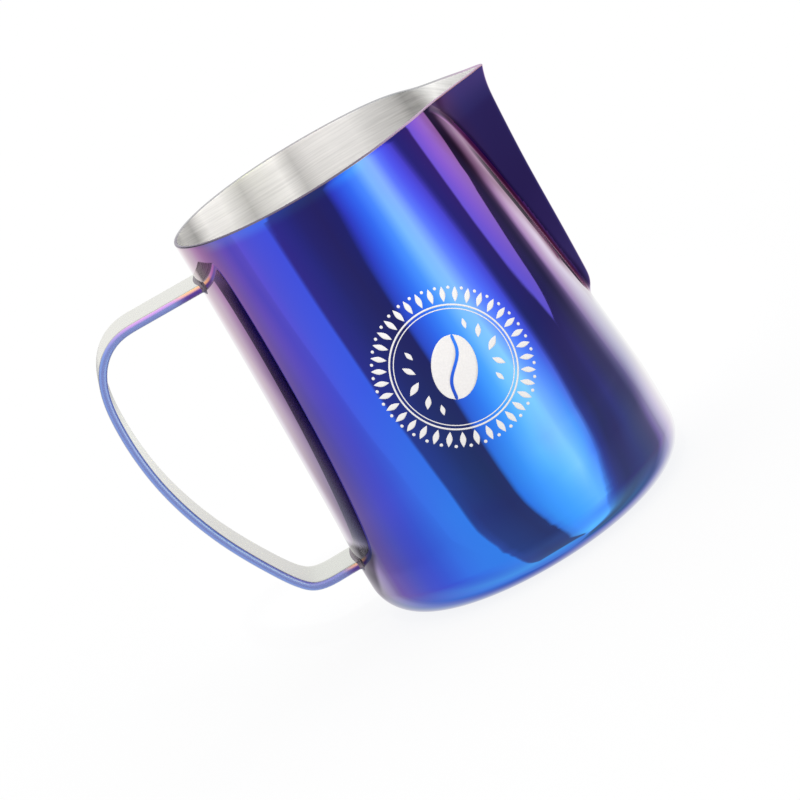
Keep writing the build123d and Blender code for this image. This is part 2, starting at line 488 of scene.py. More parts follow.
BAND_LOWEST = [
    (0.0, 0.60, 0.66, 0.80), (0.05, 0.49, 0.64, 0.85), (0.09, 0.70, 0.85, 1.0),
    (0.12, 0.95, 1.0, 1.05), (0.2, 0.95, 0.98, 1.0), (0.393, 1.05, 1.1, 1.03),
    (0.407, 0.85, 0.35, 0.36), (0.5, 0.80, 0.30, 0.26), (0.593, 0.80, 0.31, 0.28),
    (0.61, 1.2, 1.1, 0.95), (0.64, 1.32, 1.46, 1.25), (0.7, 1.6, 1.74, 1.42),
    (0.78, 1.65, 1.8, 1.42), (0.795, 1.4, 1.4, 1.15), (0.812, 1.0, 0.75, 0.55),
    (0.83, 0.90, 0.55, 0.35), (0.85, 0.80, 0.52, 0.32), (0.88, 0.75, 0.68, 0.46),
    (0.905, 0.54, 0.56, 0.47), (0.93, 0.69, 0.74, 0.73), (0.95, 0.87, 0.89, 0.90),
    (0.975, 0.80, 0.84, 0.90), (1.0, 0.60, 0.66, 0.80),
]
# Each band fades in over the one below it between two levels: start, end, band
BAND_FADES = [
    (-40, -17, BAND_LOWER),
    (-16.5, -13, BAND_LOW),
    (-12.5, -8.5, BAND_MIDDLE),
    (-7.5, -2.2, BAND_UPPER),
    (-1.8, 0.3, BAND_TOP),
]
# The line in which one height of the wall mirrors the studio: (azimuth, elevation), degrees
LEVEL_LINE = [
    (-180, -10), (-140, -10.1), (-110, -8.9), (-60, -4.6), (-40, -2.5), (0, 0.7), (40, 1.5),
    (62, 0.8), (91, -1.3), (105, -2.5), (120, -4.0), (140, -5.5), (160, -8.5), (180, -10),
]
LEVEL_BASE = -15.0  # at and below this elevation the level is the elevation itself
LEVEL_AT_LINE = 1.0  # level along the line
LINE_SPAN = 20.0  # degrees covered by the line's ramp
# Edges of a bright panel on the +X side that narrows to a point: (elevation, azimuth)
BRIGHT_START = [(-90, 91.3), (-4.9, 91.3), (-3.6, 88.7), (-2.9, 85.2), (-2.2, 84.0), (10, 84)]
BRIGHT_END = [(-90, 91.3), (-4.9, 91.3), (-4.4, 99.0), (-3.8, 106.0), (-3.3, 111.8), (10, 112)]


def build_world():
    """The studio: mirrored in glossy surfaces, plain white for the camera and other rays."""
    world = bpy.data.worlds.new("studio")
    scene.world = world
    world.use_nodes = True
    world.cycles.sampling_method = "NONE"
    w = Nodes(world.node_tree)
    azimuth, elevation = w.angles(w.node("ShaderNodeTexCoord").outputs["Generated"])
    height = w.divide(w.add(elevation, 90.0), 100.0, clamp=True)

    def edge(points):
        """Azimuth of a panel's edge as it changes with elevation."""
        stops = grey_stops(((el + 90) / 100.0, (az + 180) / 360.0) for el, az in points)
        return w.subtract(w.multiply(w.ramp(height, stops), 360.0), 180.0)

    # place round the studio from 0 to 1, an equal share between neighbouring edges
    bounds = [-180.0, *map(edge, PANEL_EDGES), 180.0]
    place = None
    for start, end in zip(bounds, bounds[1:]):
        part = w.divide(w.subtract(azimuth, start), w.subtract(end, start), clamp=True)
        share = w.multiply(part, 0.2)
        place = share if place is None else w.add(place, share)

    # elevation stretched to follow the line
    turn = w.divide(w.add(azimuth, 180.0), 360.0)
    stops = [((az + 180) / 360.0, (el - LEVEL_BASE) / LINE_SPAN) for az, el in LEVEL_LINE]
    line = w.ramp(turn, grey_stops(stops))
    stretch = (LEVEL_AT_LINE - LEVEL_BASE) / LINE_SPAN
    above = w.divide(w.multiply(w.add(elevation, -LEVEL_BASE), stretch), line)
    below = w.math("MINIMUM", elevation, LEVEL_BASE)
    level = w.math("MAXIMUM", w.subtract(above, -LEVEL_BASE), below)
    bands = w.ramp(place, BAND_LOWEST)
    for start, end, band in BAND_FADES:
        bands = w.mix(w.step(level, start, end, smooth=False), bands, w.ramp(place, band))

    # the bright panel
    start, end = edge(BRIGHT_START), edge(BRIGHT_END)
    inside = w.multiply(
        w.step(w.subtract(azimuth, start), start=-0.5, end=2.0),
        w.step(w.subtract(end, azimuth), start=-0.5, end=1.5),
    )
    bands = w.mix(inside, bands, (1.08, 1.02, 1.0, 1))
    # pale above and straight below
    bands = w.mix(w.step(elevation, start=12, end=30), bands, (0.95, 0.95, 0.95, 1))
    bands = w.mix(w.step(elevation, start=-74.5, end=-78.5), bands, (0.98, 1.0, 1.0, 1))
    # a dark panel high up on the -X, +Y side
    patch = w.multiply(
        w.multiply(
            w.step(azimuth, start=-153, end=-146),
            w.step(azimuth, start=-96, end=-104),
        ),
        w.multiply(
            w.step(elevation, start=2.5, end=4.5),
            w.step(elevation, start=24, end=20),
        ),
    )
    bands = w.mix(patch, bands, (0.075, 0.07, 0.085, 1))

    path = w.node("ShaderNodeLightPath").outputs
    plain = w.mix(path["Is Camera Ray"], (1.35, 1.35, 1.35, 1), (1.0, 1.0, 1.0, 1))
    background = w.node("ShaderNodeBackground")
    w.put(background.inputs["Color"], w.mix(path["Is Glossy Ray"], plain, bands))
    background.inputs["Strength"].default_value = 1.0
    w.output(background.outputs[0], "World")


def add_mouth_lamp():
    """A soft lamp on the -Y side that fills the mouth."""
    distance, lamp_z, aim_z = 0.45, 0.65, 0.112
    lamp = bpy.data.lights.new("mouth_fill", "SPOT")
    lamp.energy = 32.0
    lamp.spot_size = 0.150
    lamp.spot_blend = 0.6
    lamp.shadow_soft_size = 0.06
    ob = bpy.data.objects.new("mouth_fill", lamp)
    ob.location = (-0.004, -distance, lamp_z)
    ob.rotation_euler = (math.atan2(distance, lamp_z - aim_z), 0.0, 0.0)
    ob.visible_glossy = False
    scene.collection.objects.link(ob)


build_world()
add_mouth_lamp()

# ---------------------------------------------------------------- materials

# Film colours: (angle of view in degrees, red, green, blue). The first four are for the
# round wall from the bottom up, the fifth for the spout.
FILM_BOTTOM = [
    (0, 0.045, 0.24, 0.83), (30, 0.048, 0.25, 0.82), (42, 0.058, 0.28, 0.82),
    (48, 0.068, 0.30, 0.82), (55, 0.065, 0.21, 0.73), (61, 0.075, 0.175, 0.61),
    (65, 0.16, 0.21, 0.58), (70, 0.34, 0.34, 0.64), (75, 0.54, 0.53, 0.70),
    (80, 0.74, 0.72, 0.80), (85, 0.92, 0.91, 0.94), (90, 1, 1, 1),
]
FILM_LOW = [
    (0, 0.030, 0.215, 0.83), (15, 0.031, 0.210, 0.83), (28, 0.039, 0.190, 0.80),
    (33, 0.041, 0.160, 0.77), (36, 0.042, 0.130, 0.71), (40, 0.044, 0.100, 0.645),
    (44, 0.054, 0.086, 0.60), (48, 0.066, 0.086, 0.56), (52, 0.088, 0.095, 0.50),
    (57, 0.130, 0.100, 0.44), (62, 0.185, 0.130, 0.41), (65, 0.265, 0.225, 0.43),
    (68, 0.43, 0.39, 0.60), (71, 0.57, 0.52, 0.71), (74, 0.68, 0.63, 0.77),
    (77, 0.76, 0.72, 0.81), (82, 0.90, 0.87, 0.91), (86, 0.96, 0.95, 0.96), (90, 1, 1, 1),
]
FILM_MIDDLE = [
    (0, 0.032, 0.140, 0.80), (15, 0.033, 0.135, 0.79), (27, 0.046, 0.110, 0.77),
    (31, 0.052, 0.108, 0.78), (35, 0.060, 0.105, 0.75), (39, 0.072, 0.090, 0.70),
    (43, 0.095, 0.086, 0.68), (48, 0.125, 0.090, 0.62), (52, 0.150, 0.100, 0.56),
    (57, 0.220, 0.140, 0.50), (62, 0.36, 0.23, 0.50), (65, 0.50, 0.36, 0.57),
    (68, 0.64, 0.52, 0.69), (71, 0.75, 0.64, 0.79), (75, 0.81, 0.72, 0.82),
    (80, 0.87, 0.82, 0.88), (85, 0.95, 0.93, 0.95), (90, 1, 1, 1),
]
FILM_HIGH = [
    (0, 0.034, 0.105, 0.79), (15, 0.036, 0.098, 0.77), (26, 0.060, 0.085, 0.71),
    (31, 0.072, 0.088, 0.70), (35, 0.088, 0.090, 0.68), (39, 0.115, 0.090, 0.67),
    (43, 0.150, 0.090, 0.67), (48, 0.245, 0.112, 0.655), (51, 0.285, 0.133, 0.60),
    (54, 0.310, 0.145, 0.52), (58, 0.36, 0.18, 0.46), (62, 0.42, 0.22, 0.46),
    (66, 0.52, 0.32, 0.53), (70, 0.62, 0.47, 0.60), (74, 0.70, 0.58, 0.66),
    (78, 0.78, 0.68, 0.73), (82, 0.87, 0.80, 0.84), (86, 0.95, 0.92, 0.94), (90, 1, 1, 1),
]
FILM_SPOUT = [
    (0, 0.030, 0.060, 0.60), (30, 0.033, 0.045, 0.50), (44, 0.038, 0.037, 0.40),
    (52, 0.060, 0.042, 0.34), (60, 0.110, 0.060, 0.30), (68, 0.26, 0.17, 0.36),
    (75, 0.50, 0.40, 0.54), (85, 0.88, 0.84, 0.88), (90, 1, 1, 1),
]
# The handle's narrow edges, sharing their colours at a low angle
EDGE_GRAZING = [(74, 0.70, 0.71, 0.74), (82, 0.83, 0.84, 0.84), (90, 1, 1, 1)]
EDGE_BLUE = [
    (0, 0.18, 0.28, 0.63), (25, 0.18, 0.28, 0.63), (42, 0.19, 0.28, 0.62),
    (55, 0.24, 0.31, 0.62), (64, 0.35, 0.40, 0.64), *EDGE_GRAZING,
]
# painted highlight: pink on the upward faces of the limbs
EDGE_PINK_HIGHLIGHT = [
    (0, 0.50, 0.30, 0.72), (25, 0.52, 0.30, 0.70), (42, 0.64, 0.36, 0.68),
    (55, 0.74, 0.48, 0.66), (64, 0.76, 0.56, 0.68), *EDGE_GRAZING,
]
# painted highlight: gold on the upward faces by the roots
EDGE_GOLD_HIGHLIGHT = [
    (0, 0.72, 0.38, 0.34), (25, 0.78, 0.42, 0.30), (42, 0.90, 0.56, 0.26),
    (55, 0.90, 0.62, 0.34), (64, 0.86, 0.66, 0.46), *EDGE_GRAZING,
]
# painted shade: dark violet on the other faces by the roots
EDGE_ROOT_SHADE = [
    (0, 0.075, 0.045, 0.34), (25, 0.080, 0.045, 0.33), (42, 0.11, 0.07, 0.30),
    (55, 0.22, 0.16, 0.34), (64, 0.40, 0.34, 0.46), *EDGE_GRAZING,
]
# the dark values up to about 70 degrees are painted darkness, so the strip's mirror image in the
# wall comes out dark
STRIP_FACE = [
    (0, 0.17, 0.18, 0.22), (30, 0.18, 0.19, 0.22), (45, 0.24, 0.26, 0.27),
    (55, 0.37, 0.39, 0.38), (62, 0.52, 0.54, 0.51), (68, 0.66, 0.68, 0.64),
    (74, 0.78, 0.79, 0.75), (80, 0.89, 0.89, 0.855), (86, 0.96, 0.96, 0.94), (90, 1, 1, 1),
]
# Painted reflections: soft bright and dark streaks down the inside wall: (degrees from +X,
# brightness)
PAINTED_STREAKS = [
    (0, 0.60), (9, 0.64), (15, 0.79), (20, 0.57), (26, 0.39), (32, 0.35), (38, 0.55),
    (46, 0.66), (54, 0.74), (62, 0.89), (74, 0.89), (84, 0.80), (91, 0.58), (98, 0.93),
    (105, 0.82), (110, 0.74), (116, 0.57), (122, 0.77), (128, 0.96), (141, 0.96),
    (146, 0.75), (152, 0.41), (158, 0.52), (164, 0.56), (170, 0.45), (180, 0.45),
]


def film_stops(table):
    """Ramp stops over Facing, allowing for the grazing white of metal."""
    stops = []
    for degrees, *rgb in table:
        f = 1 - math.cos(math.radians(degrees))
        white = f**5
        rgb = (min(max((c - white) / max(1 - white, 1e-3), 0.0), 1.0) for c in rgb)
        stops.append((f, *rgb))
    return stops


def finish_film(n, base, roughness):
    """Darken the film by the painted shade in the fold, and make it less metallic where darkest."""
    tint = n.node("ShaderNodeAttribute", attribute_name="fold_painted_shade").outputs
    # painted shade: the fold's darkening multiplies the film's colour
    n.principled({
        "Base Color": n.tint(base, tint["Color"]),
        "Metallic": n.step(tint["Fac"], start=0.05, end=0.38),
        "Specular IOR Level": 0.0,
        "Roughness": roughness,
    })


def film_material():
    """The film on the round wall."""
    material, n = new_material("coated_steel_film")
    facing = n.facing()
    coords = n.node("ShaderNodeTexCoord").outputs
    place = coords["Object"]
    x, y, z = n.split(place)
    # slow drift of the film's thickness over the body
    noise = n.noise(place, scale=22.0)
    drift = n.multiply(n.subtract(noise, 0.5), 0.010)
    film_z = n.add(z, drift)
    base = n.ramp(facing, film_stops(FILM_BOTTOM))
    for height, start, end, film in (
        (z, 0.005, 0.0095, FILM_LOW),
        (film_z, 0.026, 0.064, FILM_MIDDLE),
        (film_z, 0.064, 0.104, FILM_HIGH),
    ):
        fade = n.step(height, start, end, smooth=False)
        base = n.mix(fade, base, n.ramp(facing, film_stops(film)))
    # bluer just under the rim on the handle's side
    top = n.multiply(
        n.step(z, start=0.1108, end=0.1136),
        n.step(x, start=0.012, end=-0.004),
    )
    under_rim = n.multiply(top, n.step(facing, start=0.52, end=0.34))
    base = n.tint_where(under_rim, base, (1.12, 1.75, 1.15))
    # painted reflection: the slanting dark edge of a panel, painted into the film low beside the
    # handle
    azimuth, elevation = n.angles(coords["Reflection"])
    # azimuth of the edge: 2 degrees per mm of height up to 22.4 mm
    edge = n.add(n.multiply(n.math("MINIMUM", z, 0.0224), 2000.0), -170.8)
    slim = n.multiply(
        n.step(n.subtract(azimuth, edge), start=4.5, end=-4.5),
        n.multiply(
            n.step(elevation, start=-24.0, end=-18.5),
            n.step(elevation, start=-11.5, end=-12.8),
        ),
    )
    low = n.multiply(
        n.step(z, start=0.004, end=0.016),
        n.step(z, start=0.0262, end=0.0240),
    )
    beside = n.multiply(
        n.step(x, start=-0.012, end=-0.020),
        n.step(y, start=0.002, end=-0.004),
    )
    mirrored = n.multiply(n.multiply(slim, low), beside)
    # painted dark reflection: the film's colour is darkened inside this mask
    base = n.tint_where(mirrored, base, (0.09, 0.06, 0.13))
    finish_film(n, base, n.speckle(place, scale=900.0, low=0.012, high=0.03, detail=3.0))
    return material


def spout_material():
    """The film on the pressed spout, darker than on the round wall."""
    material, n = new_material("spout_film")
    place = n.object_place()
    x, _, z = n.split(place)
    base = n.ramp(n.facing(), film_stops(FILM_SPOUT))
    # warmer towards the crease and paler at the spout's foot; a painted highlight under the lip
    crease = n.step(x, start=0.0335, end=0.040, first=1.0, last=0.0)
    base = n.tint_where(crease, base, (1.45, 0.95, 0.72))
    foot = n.step(z, start=0.070, end=0.054)
    base = n.tint_where(foot, base, (1.3, 1.35, 1.12))
    patches = n.step(n.noise(place, scale=30.0, detail=1.0), start=0.35, end=0.65)
    base = n.tint_where(patches, base, (0.84, 0.86, 0.88))
    # painted highlight: the film is made much paler towards the lip
    lip = n.step(z, start=0.104, end=0.1135)
    base = n.tint_where(n.multiply(lip, 0.8), base, (2.0, 2.1, 1.6))
    finish_film(n, base, n.speckle(place, scale=900.0, low=0.03, high=0.05))
    return material


def rim_material():
    """The mouth's bare steel edge: painted reflections make it dark over the round wall and pinkish
    by the spout; grey towards +Y.
    """
    material, n = new_material("rim_edge")
    place = n.object_place()
    x, y, _ = n.split(place)
    dark, pinkish, grey = (0.20, 0.17, 0.24, 1), (0.62, 0.44, 0.62, 1), (0.52, 0.52, 0.53, 1)
    # the dark and pinkish tones are painted reflections on the bare steel
    base = n.mix(n.step(x, start=0.005, end=0.030), dark, pinkish)
    base = n.mix(n.step(y, start=0.0, end=0.012), base, grey)
    n.principled({
        "Base Color": base,
        "Metallic": 1.0,
        "Roughness": n.speckle(place, scale=400.0, low=0.22, high=0.3),
    })
    return material


def handle_material():
    """Satin blue film on the strip's narrow edges, with a painted pink highlight on the upward
    faces of the limbs, and at the roots a painted gold highlight above and painted shade below.
    """
    material, n = new_material("handle_edge_film")
    facing = n.facing()
    place = n.object_place()
    x, _, z = n.split(place)
    normal = n.split(n.node("ShaderNodeNewGeometry").outputs["Normal"])
    # faces turned up get the painted highlights, the others the painted shade at the roots
    up = n.step(normal[2], start=-0.02, end=0.5)
    blue, pink, gold, dusk = (
        n.ramp(facing, film_stops(film)) for film in (EDGE_BLUE, EDGE_PINK_HIGHLIGHT, EDGE_GOLD_HIGHLIGHT, EDGE_ROOT_SHADE)
    )
    # the colours' borders wander a little along x
    wander = n.multiply(n.subtract(n.noise(place, scale=60.0), 0.5), 0.005)
    border_x = n.add(x, wander)
    limb = n.multiply(
        n.step(border_x, start=-0.0735, end=-0.060),
        n.step(z, start=0.045, end=0.080, first=0.25, last=1.0),
    )
    # painted pink highlight on the upward faces along the limbs
    base = n.mix(limb, blue, n.mix(up, blue, pink))
    root = n.step(border_x, start=-0.0502, end=-0.0448)
    # painted gold highlight above and painted shade below at the roots
    base = n.mix(root, base, n.mix(up, dusk, gold))
    n.principled({
        "Base Color": base,
        "Metallic": 0.45,
        "Roughness": n.speckle(place, scale=700.0, low=0.33, high=0.37),
    })
    return material


def strip_face_material():
    """The strip's wide faces: painted dark square on, so that their mirror image in the wall comes
    out dark; pale silver at a low angle, brushed.
    """
    material, n = new_material("handle_face_film")
    x, y, z = n.split(n.object_place())
    base = n.ramp(n.facing(), film_stops(STRIP_FACE))
    # brushing runs along the strip, so it varies across it
    along, across = 60.0, 2600.0
    stretched = n.combine(
        "XYZ", n.multiply(x, along), n.multiply(y, across), n.multiply(z, along)
    )
    brush = n.noise(stretched, scale=1.0, detail=3.0)
    shade = n.step(brush, start=0.25, end=0.75, first=0.94, last=1.02)
    n.principled({
        "Base Color": n.tint(base, n.combine("Color", shade, shade, shade)),
        "Metallic": 1.0,
        "Roughness": n.step(brush, start=0.25, end=0.75, first=0.24, last=0.34),
    })
    return material


def weld_material():
    """Dark bead: painted dark reflection, blending with the dark patch mirrored round the strip's
    roots.
    """
    material, n = new_material("weld_metal")
    fine = n.noise(n.object_place(), scale=900.0)
    # painted dark reflection in both tones, varied by fine noise
    dark, light = (0.15, 0.12, 0.16, 1), (0.26, 0.22, 0.25, 1)
    n.principled({
        "Base Color": n.mix(n.step(fine, start=0.3, end=0.7), dark, light),
        "Metallic": 1.0,
        "Roughness": n.step(fine, start=0.3, end=0.7, first=0.32, last=0.42),
    })
    return material


def warm_grey(n, value, green, blue):
    """Grey with its green and blue scaled down."""
    return n.combine("Color", value, n.multiply(value, green), n.multiply(value, blue))


def inner_material():
    """Bare steel turned on a lathe: fine rings round the axis, with painted reflections as streaks
    down the wall.
    """
    material, n = new_material("inner_steel")
    x, y, z = n.split(n.object_place())
    angle = n.math("ARCTAN2", y, x)
    radius = n.math("SQRT", n.add(n.multiply(x, x), n.multiply(y, y)))
    # the strokes lean a little off the level
    lean = n.add(n.multiply(n.math("ABSOLUTE", y), 0.20), n.multiply(x, 0.10))
    round_axis, across = 2.4, 2300.0
    stretched = n.combine(
        "XYZ",
        n.multiply(n.math("ABSOLUTE", angle), round_axis),
        n.multiply(n.add(n.add(z, radius), lean), across),
    )
    rings = n.noise(stretched, scale=1.0, detail=4.0)
    # the painted reflected streaks fan out from a point 5 mm towards the handle
    streak_angle = n.math("ABSOLUTE", n.math("ARCTAN2", y, n.add(x, 0.005)))
    turn = n.divide(streak_angle, math.pi)
    value = n.ramp(turn, grey_stops((degrees / 180.0, v) for degrees, v in PAINTED_STREAKS))
    value = n.add(value, n.step(rings, start=0.25, end=0.75, first=-0.07, last=0.07))
    bump = n.node("ShaderNodeBump")
    bump.inputs["Strength"].default_value = 0.35
    bump.inputs["Distance"].default_value = 0.0001
    n.put(bump.inputs["Height"], rings)
    n.principled({
        "Base Color": warm_grey(n, value, green=0.985, blue=0.965),
        "Metallic": 0.3,
        "Roughness": 0.42,
        "Normal": bump.outputs[0],
    })
    return material


def emblem_material():
    material, n = new_material("emblem_print")
    value = n.speckle(n.object_place(), scale=2500.0, low=0.63, high=0.67)
    n.principled({
        "Base Color": warm_grey(n, value, green=0.975, blue=0.965),
        "Metallic": 0.0,
        "Roughness": 0.6,
        "Specular IOR Level": 0.2,
    })
    return material


def floor_material():
    """White glow with a little diffuse grey that takes the shadow."""
    material, n = new_material("studio_floor")
    noise = n.noise(n.object_place(), scale=40.0)
    value = n.step(noise, start=0.2, end=0.8, first=0.745, last=0.755)
    diffuse = n.node("ShaderNodeBsdfDiffuse")
    n.put(diffuse.inputs["Color"], n.combine("Color", value, value, value))
    glow = n.node("ShaderNodeEmission")
    glow.inputs["Color"].default_value = (1, 1, 1, 1)
    glow.inputs["Strength"].default_value = 1.0
    mixed = n.node("ShaderNodeMixShader")
    mixed.inputs[0].default_value = 0.13  # share of diffuse
    n.put(mixed.inputs[1], glow.outputs[0])
    n.put(mixed.inputs[2], diffuse.outputs[0])
    n.output(mixed.outputs[0])
    material.cycles.emission_sampling = "NONE"
    return material


FILM = film_material()
SPOUT_FILM = spout_material()
RIM_EDGE = rim_material()
HANDLE_EDGE = handle_material()
HANDLE_FACE = strip_face_material()
WELD = weld_material()
INNER = inner_material()
EMBLEM = emblem_material()

# ---------------------------------------------------------------- body

SPOUT_FOOT = 44  # height where the spout starts
SPOUT_FILM_FROM = 44.8  # height where the spout's film starts
WALL_TOP = 90  # above this the rows bend to follow the rim

# Painted shade beside the fold, darkening the film there: heights, degrees of the fold there,
# degrees past the fold, and the factor for each height (rows) and distance past the fold (columns)
FOLD_Z = [50, 55, 62, 70, 78, 86, 94, 100, 105, 110]
FOLD_ANGLE = [3.0, 3.8, 5.5, 7.0, 8.5, 10.3, 12.0, 13.8, 15.7, 18.2]
FOLD_PAST = [-1.9, -0.9, 0.5, 1.7, 3, 5, 7, 9, 11, 13, 16, 20]
FOLD_SHADE_FACTOR = [
    [1, 0.5, 0.2, 0.2, 0.3, 0.75, 0.8, 0.85, 1, 1, 1, 1],
    [1, 0.45, 0.1, 0.1, 0.22, 0.6, 0.78, 0.8, 0.9, 1.05, 1, 1],
    [1, 0.4, 0.06, 0.083, 0.3, 0.5, 0.2, 0.14, 0.7, 1.05, 1.05, 1],
    [1, 0.3, 0.045, 0.081, 0.3, 0.3, 0.2, 0.5, 1.05, 1.1, 1, 1],
    [1, 0.25, 0.054, 0.109, 0.4, 0.55, 0.62, 0.7, 0.9, 1.05, 1, 1],
    [1, 0.105, 0.057, 0.114, 0.42, 0.48, 0.4, 0.5, 0.8, 0.95, 0.9, 1],
    [1, 0.175, 0.08, 0.12, 0.42, 0.65, 0.72, 0.6, 0.55, 0.48, 0.7, 1],
    [1, 0.27, 0.1, 0.16, 0.6, 0.8, 0.75, 0.65, 0.55, 0.5, 0.8, 1],
    [1, 0.5, 0.22, 0.34, 0.9, 1.05, 1, 0.8, 0.6, 0.55, 0.85, 1],
    [1, 0.85, 0.6, 0.7, 1, 1, 1, 0.9, 0.8, 0.8, 1, 1],
]


def crease_angle(z):
    """Azimuth where the spout's flank meets the round wall."""
    p = np.linspace(0.02, 1.2, 400)
    c = centre(z)
    round_r = ellipse(spout_side(z) - c, half_width(z), p)
    flank_r = flank_radius(max(apex_x(z) - c, MIN_APEX), p)
    over = np.nonzero(flank_r > round_r)[0]
    return float(p[over[-1]]) if len(over) else 0.0


CREASE_Z = np.linspace(SPOUT_FOOT, HEIGHT, 120)
# the creases' azimuth at those heights, smoothed over five neighbours
CREASE = np.convolve(
    np.pad([crease_angle(z) for z in CREASE_Z], 2, mode="edge"), np.ones(5) / 5, mode="valid"
)


def columns(z):
    """Azimuths of a row's vertices, closest together at the nose and the creases."""
    c = float(np.clip(np.interp(z, CREASE_Z, CREASE), 0.16, 1.0))
    # each stretch of azimuths: start, end, points with both ends
    stretches = [
        (0, 0.045, 8),
        (0.045, c - 0.05, 15),
        (c - 0.05, c + 0.05, 17),
        (c + 0.05, c + 0.33, 15),
        (c + 0.33, 1.15, 12),
    ]
    parts = [np.linspace(*stretch)[:-1] for stretch in stretches]
    half = np.concatenate(parts + [np.linspace(1.15, math.pi, 82)])
    return np.concatenate([half, -half[-2:0:-1]])


def disc_row(z, inset, fraction):
    """The section's outline at height z, shrunk to a fraction of its size."""
    phi = columns(z)
    r = fraction * outline(z, phi, inset)
    return np.stack([centre(z) + r * np.cos(phi), r * np.sin(phi), np.full(len(phi), z)], -1)


def body_rows():
    """Rows from the underside up the outer wall, over the rim, and down to the inside floor.

    Also returns the number of rows on the outside."""
    heights = [CORNER * (1 - math.cos(math.radians(a))) for a in np.linspace(0, 90, 46)]
    heights += [
        *np.arange(12, 44, 2.0),
        *np.arange(44, 55.01, 0.4),
        *np.arange(56, WALL_TOP + 0.1, 2.0),
    ]
    last = heights[-1]
    rises = np.linspace(0, 1, 26)[1:]
    rim_r = WALL / 2
    # the rim's height depends on x, which depends on the height
    phi = columns(HEIGHT)
    rim = np.full(len(phi), HEIGHT)
    for _ in range(3):
        rim = rim_z(wall_point(rim, phi, rim_r)[:, 0])

    def bent_row(rise, inset):
        around = columns(last + (HEIGHT - last) * rise)
        return wall_point(last + (rim - rim_r - last) * rise, around, inset)

    rows = [disc_row(0.0, 0.0, fraction) for fraction in (0.02, 0.25, 0.5, 0.75, 0.93)]
    rows += [wall_point(z, columns(z)) for z in heights]
    rows += [bent_row(rise, 0.0) for rise in rises]
    outer_count = len(rows)
    for a in np.linspace(0, math.pi, 11)[1:-1]:
        rows.append(wall_point(rim - rim_r + rim_r * math.sin(a), phi, rim_r - rim_r * math.cos(a)))
    rows += [bent_row(rise, WALL) for rise in rises[::-1]]
    rows += [wall_point(z, columns(z), WALL) for z in heights[::-1] if z > CORNER + 1.0]
    for a in np.linspace(90, 0, 17):
        z = FLOOR + (CORNER - WALL) * (1 - math.cos(math.radians(a)))
        rows.append(wall_point(z, columns(z), WALL))
    rows += [disc_row(FLOOR, WALL, fraction) for fraction in (0.9, 0.65, 0.35, 0.02)]
    return rows, outer_count


def body_slots(rows, outer_count):
    """Material slot of each quad: 0 film, 1 inside, 2 spout film, 3 rim edge."""
    cols = len(rows[0])
    slots = []
    for i, row in enumerate(rows[:-1]):
        height = float(np.mean(row[:, 2]))
        if i >= outer_count + 8:
            slots += [1] * cols
        elif i >= outer_count - 1:
            slots += [3] * cols
        elif height > SPOUT_FILM_FROM:
            border = float(np.interp(height, CREASE_Z, CREASE)) - 0.012
            angle = np.arctan2(row[:, 1], row[:, 0] - centre(row[:, 2]))
            middle = np.abs(angle + np.roll(angle, -1)) / 2
            # the sign changes opposite the spout, which spoils the mean there
            middle[cols // 2 - 2 : cols // 2 + 2] = math.pi
            slots += list(np.where(middle < border, 2, 0))
        else:
            slots += [0] * cols
    return slots


def add_fold_painted_shade(ob, verts):
    """Store the painted shade in the fold beside the spout as a colour attribute."""
    z = verts[:, 2]
    angle = np.degrees(np.abs(np.arctan2(verts[:, 1], verts[:, 0] - centre(z))))
    past = angle - np.interp(z, FOLD_Z, FOLD_ANGLE)
    factors = np.array([np.interp(past, FOLD_PAST, row) for row in FOLD_SHADE_FACTOR])
    at = np.interp(z, FOLD_Z, np.arange(len(FOLD_Z)))
    at = np.clip(at, 0, len(FOLD_Z) - 1.0001)
    low = np.floor(at).astype(int)
    i = np.arange(len(verts))
    f = factors[low, i] * (1 - (at - low)) + factors[low + 1, i] * (at - low)
    f = 1 + (f - 1) * smoothstep(z, 45.5, 50.0)
    # green darkens fastest, then blue
    rgba = np.stack([f, f**1.55, f**1.18, np.ones(len(f))], -1).astype(np.float32)
    tint = ob.data.attributes.new("fold_painted_shade", "FLOAT_COLOR", "POINT")
    tint.data.foreach_set("color", rgba.ravel())


def build_body():
    rows, outer_count = body_rows()
    cols = len(rows[0])
    faces = grid_faces(len(rows), cols)
    slots = body_slots(rows, outer_count)
    # close the underside and the inside floor with fans
    middles = [[float(centre(0.0)), 0, 0], [float(centre(FLOOR)), 0, FLOOR]]
    verts = np.concatenate(rows + [middles])
    under = len(rows) * cols
    last = under - cols
    for j in range(cols):
        k = (j + 1) % cols
        faces += [(under, k, j), (under + 1, last + j, last + k)]
        slots += [0, 1]
    ob = make_object("pitcher_shell", verts, faces, [FILM, INNER, SPOUT_FILM, RIM_EDGE], slots)
    add_fold_painted_shade(ob, verts)
    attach(ob, "root")
    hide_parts("pitcher_body")


build_body()

# ---------------------------------------------------------------- handle

# Middle line of the strip from its upper to its lower root: x, z
LINE = [
    (-40, 102.35), (-50, 102.62), (-60, 102.9), (-66.2, 102.55), (-71.2, 100.2),
    (-74.9, 95.9), (-77.1, 90.2), (-78.15, 82.5), (-78.25, 74), (-77.35, 64.5),
    (-75.35, 55.2), (-72.35, 46), (-68.6, 37.4), (-64.1, 28.9), (-60.3, 22.9),
    (-57.6, 20.25), (-54.2, 19.1), (-48, 18.85), (-42, 18.65),
]
STRIP_WIDTH = 18.0
STRIP_THICK = 2.3
STRIP_EDGE = 1.0  # radius of the strip's edges
FACE_BAND = 0.13  # how far below the face its material still reaches round the edge
ROOT_DEPTH = 0.3  # how far the strip's ends go into the wall
UPPER_REACH, LOWER_REACH = 12.0, 18.0  # lengths from the line's ends that hold the wall
WELD_LEG = 0.9
WELD_LAP = 0.02  # how far the bead runs on beyond its legs
WELD_BURY = 0.12  # how far the bead's edges are sunk into the metal

